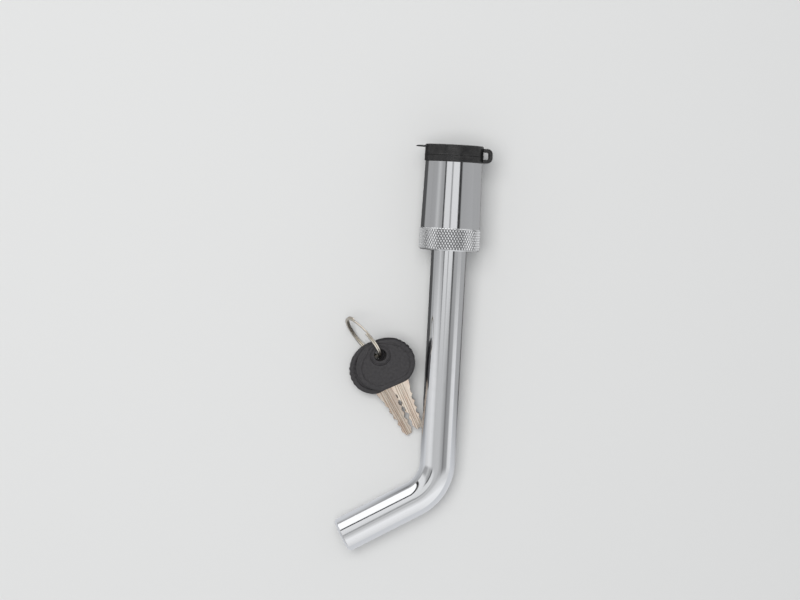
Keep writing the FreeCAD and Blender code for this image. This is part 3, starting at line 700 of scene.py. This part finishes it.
def cap_strap():
    """A flat strap that leaves the band, turns up beside the cap and comes back into the lid."""
    low, high = box("cap_strap")
    thick = 1.6
    outer = high.x - thick / 2
    inner = 12.9
    bottom = low.y + thick / 2
    top = high.y - thick / 2
    half_width = 3.5
    corner, edge_rounding = 1.5, 0.4
    path = rounded(
        [(inner, bottom, 0), (outer, bottom, corner), (outer, top, corner), (inner, top, 0)],
        closed=False,
    )
    longest_step = 0.4
    dense = []
    for start, end in zip(path, path[1:]):
        steps = max(1, round(np.linalg.norm(end - start) / longest_step))
        dense += [start + (end - start) * step / steps for step in range(steps)]
    dense.append(path[-1])
    way = np.gradient(np.array(dense), axis=0)
    way /= np.linalg.norm(way, axis=1)[:, None]
    section = rounded(
        [
            (-thick / 2, -half_width, edge_rounding),
            (thick / 2, -half_width, edge_rounding),
            (thick / 2, half_width, edge_rounding),
            (-thick / 2, half_width, edge_rounding),
        ]
    )
    count = len(dense)
    centres = [np.array((x, y, 0)) for x, y in dense]
    firsts = [np.array((dy, -dx, 0)) for dx, dy in way]
    item = swept_object("cap_hinge_strap", centres, firsts, [Z_WAY] * count, [section] * count)
    smooth(item)
    item.data.materials.append(MATERIALS["cap_rubber"])
    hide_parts("cap_strap")
    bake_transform(item)


# Keys. Each is built with its ring hole at the origin, its blade along -Y and its face up, then laid
# where the CAD key lies.

KEY_HOLE_RADIUS = 2.8
DISH_RADIUS = 4.75
DISH_DEPTH = 0.7
BOW_HALF_THICKNESS = 2.2
BOW_FLAT = 16
BLADE_TIP = 39.3
TIP_HALF_WIDTH = 1.2
BLADE_SHIFT = 2.8


def key_place(side, turned_over):
    """A key's frame: its hole from the swing joint, its direction from the tip of its CAD blade."""
    joint = JOINTS[f"key_{side}_swing"]
    hole = Vector(joint["pos_m"])
    up = Vector(joint["axis"]).normalized() * (1 if turned_over else -1)
    corners = [vertex.co for vertex in frame["nodes"][f"key_blade_{side}"].data.vertices]
    reach = max((corner - hole for corner in corners), key=lambda way: way.length)
    reach = reach - up * reach.dot(up)
    along = up.cross(reach) * (BLADE_SHIFT + TIP_HALF_WIDTH) - reach * BLADE_TIP
    along.normalize()
    return placement(along.cross(up), along, up, hole)


def bow_outline(angles):
    """Distance from the hole to the bow's edge: an oval cut off square at the blade, with grips."""
    half_width, half_length = 13.5, 11.85
    beside, below = 0.6, -5.35
    cosine, sine = np.cos(angles), np.sin(angles)
    a = (cosine / half_width) ** 2 + (sine / half_length) ** 2
    b = -2 * (cosine * beside / half_width**2 + sine * below / half_length**2)
    c = (beside / half_width) ** 2 + (below / half_length) ** 2 - 1
    oval = (-b + np.sqrt(b * b - 4 * a * c)) / (2 * a)
    flat = BOW_FLAT / np.maximum(-sine, 0.05)
    softness = 0.3
    edge = -softness * np.log(np.exp(-oval / softness) + np.exp(-flat / softness))
    grip_middle, grip_reach, scallop_pitch, scallop_depth = 8, 26, 9, 0.4
    from_grip = np.degrees(angles) + grip_middle
    grip = np.clip(1 - np.abs(from_grip) / grip_reach, 0, 1) ** 0.3
    scallops = 0.5 + 0.5 * np.cos(np.radians(from_grip) * 360 / scallop_pitch)
    return edge - scallop_depth * grip * (1 - scallops)


def key_bow(side, place):
    """A moulded bow: rows of points from the hole over the face to the rim, and the same below."""
    count = 288
    angles = (np.arange(count) + 0.5) * math.tau / count - math.pi
    reach = bow_outline(angles)
    spoke = np.stack([np.cos(angles), np.sin(angles)], axis=1)
    edge = spoke * reach[:, None]
    way = np.roll(edge, -1, axis=0) - np.roll(edge, 1, axis=0)
    way /= np.linalg.norm(way, axis=1)[:, None]
    square_on = np.abs(way[:, 1] * spoke[:, 0] - way[:, 0] * spoke[:, 1])
    lip_radius = 5.4
    margin = 3.2
    top = BOW_HALF_THICKNESS
    floor = top - DISH_DEPTH
    around_hole = rounded(
        [
            (KEY_HOLE_RADIUS, 0, 0),
            (KEY_HOLE_RADIUS, floor, 0.25),
            (3.6, floor, 0.1),
            (3.75, floor + 0.12, 0.1),
            (3.95, floor + 0.12, 0.1),
            (4.1, floor, 0.1),
            (DISH_RADIUS - 0.1, floor, 0.1),
            (DISH_RADIUS, top + 0.1, 0.12),
            (5.1, top + 0.1, 0.1),
            (lip_radius, top, 0),
        ],
        closed=False,
    )
    near_edge = rounded(
        [
            (margin, top, 0),
            (2.75, top, 0.1),
            (2.55, top - 0.16, 0.1),
            (2.3, top - 0.16, 0.1),
            (2.05, top + 0.12, 0.15),
            (1.6, top + 0.1, 0.3),
            (0, top - 0.1, 1.0),
            (0, 0, 0),
        ],
        closed=False,
    )
    narrow = np.minimum(1, (reach - lip_radius) / margin)
    inset_scale = narrow / np.maximum(square_on, 0.6)
    rows = [(np.full(count, radius), height) for radius, height in around_hole]
    rows += [(reach - inset * inset_scale, height) for inset, height in near_edge]
    rows += [(radius, -height) for radius, height in rows[-2:0:-1]]
    points = np.concatenate(
        [
            np.column_stack([spoke * np.asarray(radius)[:, None], np.full(count, height)])
            for radius, height in rows
        ]
    )
    item = new_object(f"bow_{side}", points, grid_faces(len(rows), count, True))
    smooth(item)
    stand_for(item, f"key_bow_{side}", MATERIALS["bow_plastic"], place)


def blade_edge(distance):
    """Half the blade's width at a distance from the hole: it narrows evenly as far as its point."""
    at_bow, at_point, point_length = 4.4, 2.6, 3
    taper_length = BLADE_TIP - point_length - BOW_FLAT
    return at_bow - (at_bow - at_point) * (distance - BOW_FLAT) / taper_length


def blade_outline():
    """The blade seen from above: an edge with its bitting cuts, and its mirror image."""
    root = BOW_FLAT - 1
    cuts = (0.8, 1.2, 1.0, 1.3, 0.8)
    pitch, last_cut, peak_drop, half_flat = 3.4, 4.6, 0.3, 0.5
    edge = [(blade_edge(root), root)]
    for number, depth in enumerate(cuts):
        middle = BLADE_TIP - last_cut - pitch * (len(cuts) - 1 - number)
        before = middle - pitch / 2
        edge.append((blade_edge(before) - peak_drop, before))
        edge.append((blade_edge(middle) - depth, middle - half_flat))
        edge.append((blade_edge(middle) - depth, middle + half_flat))
    shoulder_half_width, shoulder_place = 2.4, 2.6
    edge.append((shoulder_half_width, BLADE_TIP - shoulder_place))
    edge.append((TIP_HALF_WIDTH, BLADE_TIP))
    left = [(BLADE_SHIFT - beside, -distance) for beside, distance in edge]
    right = [(BLADE_SHIFT + beside, -distance) for beside, distance in edge]
    return left + right[::-1]


def blade_section():
    """Across the blade: milled grooves above, and the same turned over below."""
    half, past_edge = 1.0, 5.4
    side_groove, shallow, deep, land = 0.5, 0.3, 0.62, 0.12
    top = [
        (-past_edge, half),
        (-2.5, half),
        (-2.25, half - side_groove),
        (-1.45, half - side_groove),
        (-1.2, half),
        (-0.6, half),
        (-0.4, half - shallow),
        (0, half - shallow),
        (0.2, half - deep),
        (1, half - deep),
        (1.25, half - land),
        (past_edge, half - land),
    ]
    under = [(-x, -z) for x, z in top]
    return np.array(top + under)


def key_blade(side, place):
    """A milled bar cut to the blade's outline."""
    spare, cutter_height = 2, 3.0
    ends = [np.array((BLADE_SHIFT, y, 0)) for y in (-BLADE_TIP - spare, -BOW_FLAT + spare)]
    section = blade_section()
    item = swept_object(f"blade_{side}", ends, [X_WAY] * 2, [Z_WAY] * 2, [section] * 2)
    outline = np.array(blade_outline())
    levels = [np.array((0, 0, z)) for z in (-cutter_height, cutter_height)]
    cutter = swept_object("outline", levels, [X_WAY] * 2, [Y_WAY] * 2, [outline] * 2)
    combine(item, cutter, "INTERSECT")
    bevel(item, 0.1, 25)
    smooth(item, 60)
    stand_for(item, f"key_blade_{side}", MATERIALS["blade_nickel"], place)


# The plane that the collar and the bent leg rest on, and the split ring placed in it


def resting_plane():
    """Across, along and up directions of the plane, and its depth below the origin."""
    angle = math.radians(BEND_ANGLE)
    mouth_to_vertex = USABLE_LENGTH + BEND_RADIUS * math.tan(angle / 2)
    rise = (COLLAR_RADIUS - SHANK_RADIUS) / mouth_to_vertex
    lean = rise * (1 - math.cos(angle)) / math.sin(angle)
    up = Vector((-lean, rise, 1)).normalized()
    across = (Vector((1, 0, 0)) - up * up.x).normalized()
    along = up.cross(across)
    depth = COLLAR_RADIUS * math.sqrt(1 - up.y**2) - up.y * MOUTH
    return across, along, up, depth


def key_ring():
    """A flat-sided wire wound just under two turns, threaded through both keys."""
    across, along, up, depth = resting_plane()
    heading, slope, start = (math.radians(angle) for angle in (134, 74.7, 87))
    radius, pitch, turns = 11, 0.8, 1.85
    half_wide, half_high, edge_rounding = 0.65, 0.37, 0.3
    beside_pin, along_pin, above_plane = -36.48, 6.77, 11.63
    middle = across * beside_pin + along * along_pin + up * (above_plane - depth)
    level = across * math.cos(heading) + along * math.sin(heading)
    side = across * math.sin(heading) - along * math.cos(heading)
    rising = side * math.cos(slope) + up * math.sin(slope)
    place = placement(level, rising, level.cross(rising), middle * MM)
    section = rounded(
        [
            (-half_wide, -half_high, edge_rounding),
            (half_wide, -half_high, edge_rounding),
            (half_wide, half_high, edge_rounding),
            (-half_wide, half_high, edge_rounding),
        ]
    )
    end_scale = 0.85
    stations = 280
    centres, outwards, sections = [], [], []
    for station in range(stations + 1):
        share = station / stations
        angle = start + math.tau * turns * share
        outward = np.array((math.cos(angle), math.sin(angle), 0))
        centres.append(outward * radius + np.array((0, 0, pitch * turns * (share - 0.5))))
        outwards.append(outward)
        sections.append(section * (end_scale if station in (0, stations) else 1))
    item = swept_object("split_ring", centres, outwards, [Z_WAY] * (stations + 1), sections)
    smooth(item)
    stand_for(item, "key_ring", MATERIALS["ring_nickel"], place)


# CAD nodes shown as they are, each with its own finish


def finish_cad_nodes():
    """Give every CAD node that still shows its material and slightly broken edges."""
    for node, item in frame["nodes"].items():
        if item.hide_render:
            continue
        item.data.materials.clear()
        item.data.materials.append(MATERIALS[SLOT_OF[node]])
        bevel(item, 0.06, 35)


# Stage: floor, light and camera


def studio_floor():
    """Pale to the camera; mirrors see a painted reflection of it, grey and glowing, with painted shadow under the
    pin and on the keys' side.
    """
    across, along, up, depth = resting_plane()
    half, gap_below = 4000, 0.02
    corners = [
        across * (half * i) + along * (half * j) - up * (depth + gap_below)
        for i, j in ((-1, -1), (1, -1), (1, 1), (-1, 1))
    ]
    item = new_object("floor", [tuple(corner) for corner in corners], [(0, 1, 2, 3)])
    finish = Finish("floor", (0.62, 0.62, 0.61), 0, 0.7)
    place = finish.node("ShaderNodeSeparateXYZ", Vector=finish.place()).outputs
    beside = finish.ramp(place["X"], FLOOR_ACROSS)
    past_bend = finish.remap(place["Y"], 0, 1, *FLOOR_ALONG)
    level = finish.mix(past_bend, (0.7, 0.71, 0.73), beside)
    # Mirrors see this glow as the floor: a painted reflection, grey, with painted shadow beside the pin
    painted_floor_reflection = finish.node("ShaderNodeEmission", Color=level).outputs[0]
    mirrored = finish.node("ShaderNodeLightPath").outputs["Is Glossy Ray"]
    shader = finish.node("ShaderNodeMixShader")
    finish.feed(shader.inputs[0], mirrored)
    finish.feed(shader.inputs[1], finish.surface.outputs[0])
    finish.feed(shader.inputs[2], painted_floor_reflection)
    finish.feed(finish.tree.nodes["Material Output"].inputs["Surface"], shader.outputs[0])
    item.data.materials.append(finish.material)


# Levels that mirrors see. Round the pin's axis: degrees from straight up, negative towards the keys.
# One set is for the head's end and one for the leg's end, where the lights stand further apart.
UPPER_RING = (
    (-90, 0.4), (-70, 0.42), (-58, 0.6), (-46, 0.42), (-37, 0.4), (-35, 0.08), (-31, 0.08),
    (-29, 0.8), (-9, 0.82), (-7, 0.4), (-3, 0.4), (-1, 0.84), (22, 0.84), (24, 0.05),
    (32, 0.05), (36, 0.42), (90, 0.46),
)
LOWER_RING = (
    (-90, 0.7), (-62, 0.86), (-47, 0.8), (-36, 0.6), (0, 0.6), (24, 0.4), (31, 0.2), (36, 0.32),
    (56, 0.4), (63, 0.8), (90, 0.86),
)
# Lengthwise: slope towards the head, as a share of the distance from the pin's axis
LENGTHWISE = (
    (-2, 0.8), (-0.6, 1.0), (-0.35, 0.76), (0, 0.7), (0.3, 0.85), (0.65, 0.9), (0.75, 1.25),
    (1.8, 1.25), (2.2, 0.8),
)
# A dark gap between two soft boxes, by the same slope, on the keys' side only
GAP = ((0, 1.0), (0.58, 1.0), (0.61, 0.03), (0.73, 0.03), (0.77, 1.0), (1, 1.0))
# Share of the lengthwise level, by the turn round the axis, positive towards the side where the slope
# and the turn have the same sign
CORNERS = ((-90, 1.0), (5, 1.0), (22, 0.7), (30, 0.1), (38, 0.1), (44, 0.6), (72, 0.72), (90, 0.5))
# Where one set goes over into the other: slopes for the two rings and for lengthwise levels, degrees
# for the gap
RINGS_MEET = (-0.09, -0.02)
STEEP = (0.18, 0.3)
GAP_SIDE = (-20, -5)
# Levels of the floor that mirrors see beside the pin, with painted shadow under it and towards the keys, and the
# stretch along the pin where that painted shadow begins
FLOOR_ACROSS = ((-60, 0.42), (-46, 0.4), (-40, 0.1), (13, 0.08), (22, 0.42), (60, 0.44))
FLOOR_ALONG = (-60, -20)


def studio_world():
    """Soft light for matt surfaces, and a ring of soft boxes and dark edges for mirrors."""
    world = bpy.data.worlds.new("studio")
    bpy.context.scene.world = world
    world.use_nodes = True
    nodes = Nodes(world.node_tree)
    seen = nodes.node("ShaderNodeTexCoord").outputs["Generated"]
    way = nodes.node("ShaderNodeSeparateXYZ", Vector=seen).outputs
    turn = nodes.math("MULTIPLY", nodes.math("ARCTAN2", way["X"], way["Z"]), math.degrees(1))
    beside = nodes.math("POWER", way["X"], 2)
    above = nodes.math("POWER", way["Z"], 2)
    from_axis = nodes.math("SQRT", nodes.math("ADD", beside, above))
    slope = nodes.math("DIVIDE", way["Y"], nodes.math("MAXIMUM", from_axis, 0.01))
    lower, upper = nodes.ramp(turn, LOWER_RING), nodes.ramp(turn, UPPER_RING)
    ring = nodes.mix(nodes.remap(slope, 0, 1, *RINGS_MEET), lower, upper)
    steep = nodes.remap(nodes.math("ABSOLUTE", slope), 0, 1, *STEEP)
    side = nodes.math("MULTIPLY", turn, nodes.math("SIGN", slope))
    no_gap = nodes.remap(side, 0, 1, *GAP_SIDE)
    gap = nodes.mix(no_gap, nodes.ramp(slope, GAP), (1, 1, 1))
    shade = nodes.math("MULTIPLY", nodes.ramp(side, CORNERS), gap)
    lengthwise = nodes.math("MULTIPLY", nodes.ramp(slope, LENGTHWISE), shade)
    mirrored = nodes.mix(steep, ring, lengthwise)
    path = nodes.node("ShaderNodeLightPath").outputs
    seen_directly = nodes.mix(path["Is Camera Ray"], (0.5, 0.51, 0.53), (0.82, 0.82, 0.82))
    light = nodes.mix(path["Is Glossy Ray"], seen_directly, mirrored)
    nodes.feed(world.node_tree.nodes["Background"].inputs["Color"], light)


def soft_box():
    """One large light for the matt surfaces, hidden from the camera and from mirrors."""
    across, along, up, depth = resting_plane()
    watts, wide, long = 18, 1000, 1200
    beside_pin, along_pin, height = -300, 200, 1400
    data = bpy.data.lights.new("soft_box", "AREA")
    data.shape = "RECTANGLE"
    data.size = wide * MM
    data.size_y = long * MM
    data.energy = watts
    item = bpy.data.objects.new("soft_box", data)
    bpy.context.scene.collection.objects.link(item)
    place = (across * beside_pin + along * along_pin + up * height) * MM
    item.matrix_world = placement(across, along, up, place)
    item.visible_camera = False
    item.visible_glossy = False


def camera():
    """Straight down on the resting plane, with the pin leaning a little to the right."""
    across, along, up, depth = resting_plane()
    image_lean, distance = 3.05, 902.6
    aim = Vector((-20.9, 24.6, 0))
    pin_along = (Vector((0, 1, 0)) - up * up.y).normalized()
    pin_across = pin_along.cross(up)
    lean = math.radians(image_lean)
    image_up = pin_along * math.cos(lean) - pin_across * math.sin(lean)
    image_right = image_up.cross(up)
    data = bpy.data.cameras.new("camera")
    data.lens = 90
    data.sensor_width = 36
    data.clip_start = 0.01
    data.clip_end = 50
    item = bpy.data.objects.new("camera", data)
    bpy.context.scene.collection.objects.link(item)
    item.matrix_world = placement(image_right, image_up, up, aim * MM + up * (distance * MM))
    bpy.context.scene.camera = item
    bpy.context.scene.view_settings.view_transform = "Standard"


bent_pin()
lock_barrel()
knurled_collar()
cap_band()
cap_lid()
cap_strap()
for key_side, key_turned_over in (("front", False), ("rear", True)):
    key_frame = key_place(key_side, key_turned_over)
    key_bow(key_side, key_frame)
    key_blade(key_side, key_frame)
key_ring()
finish_cad_nodes()
studio_floor()
studio_world()
soft_box()
camera()
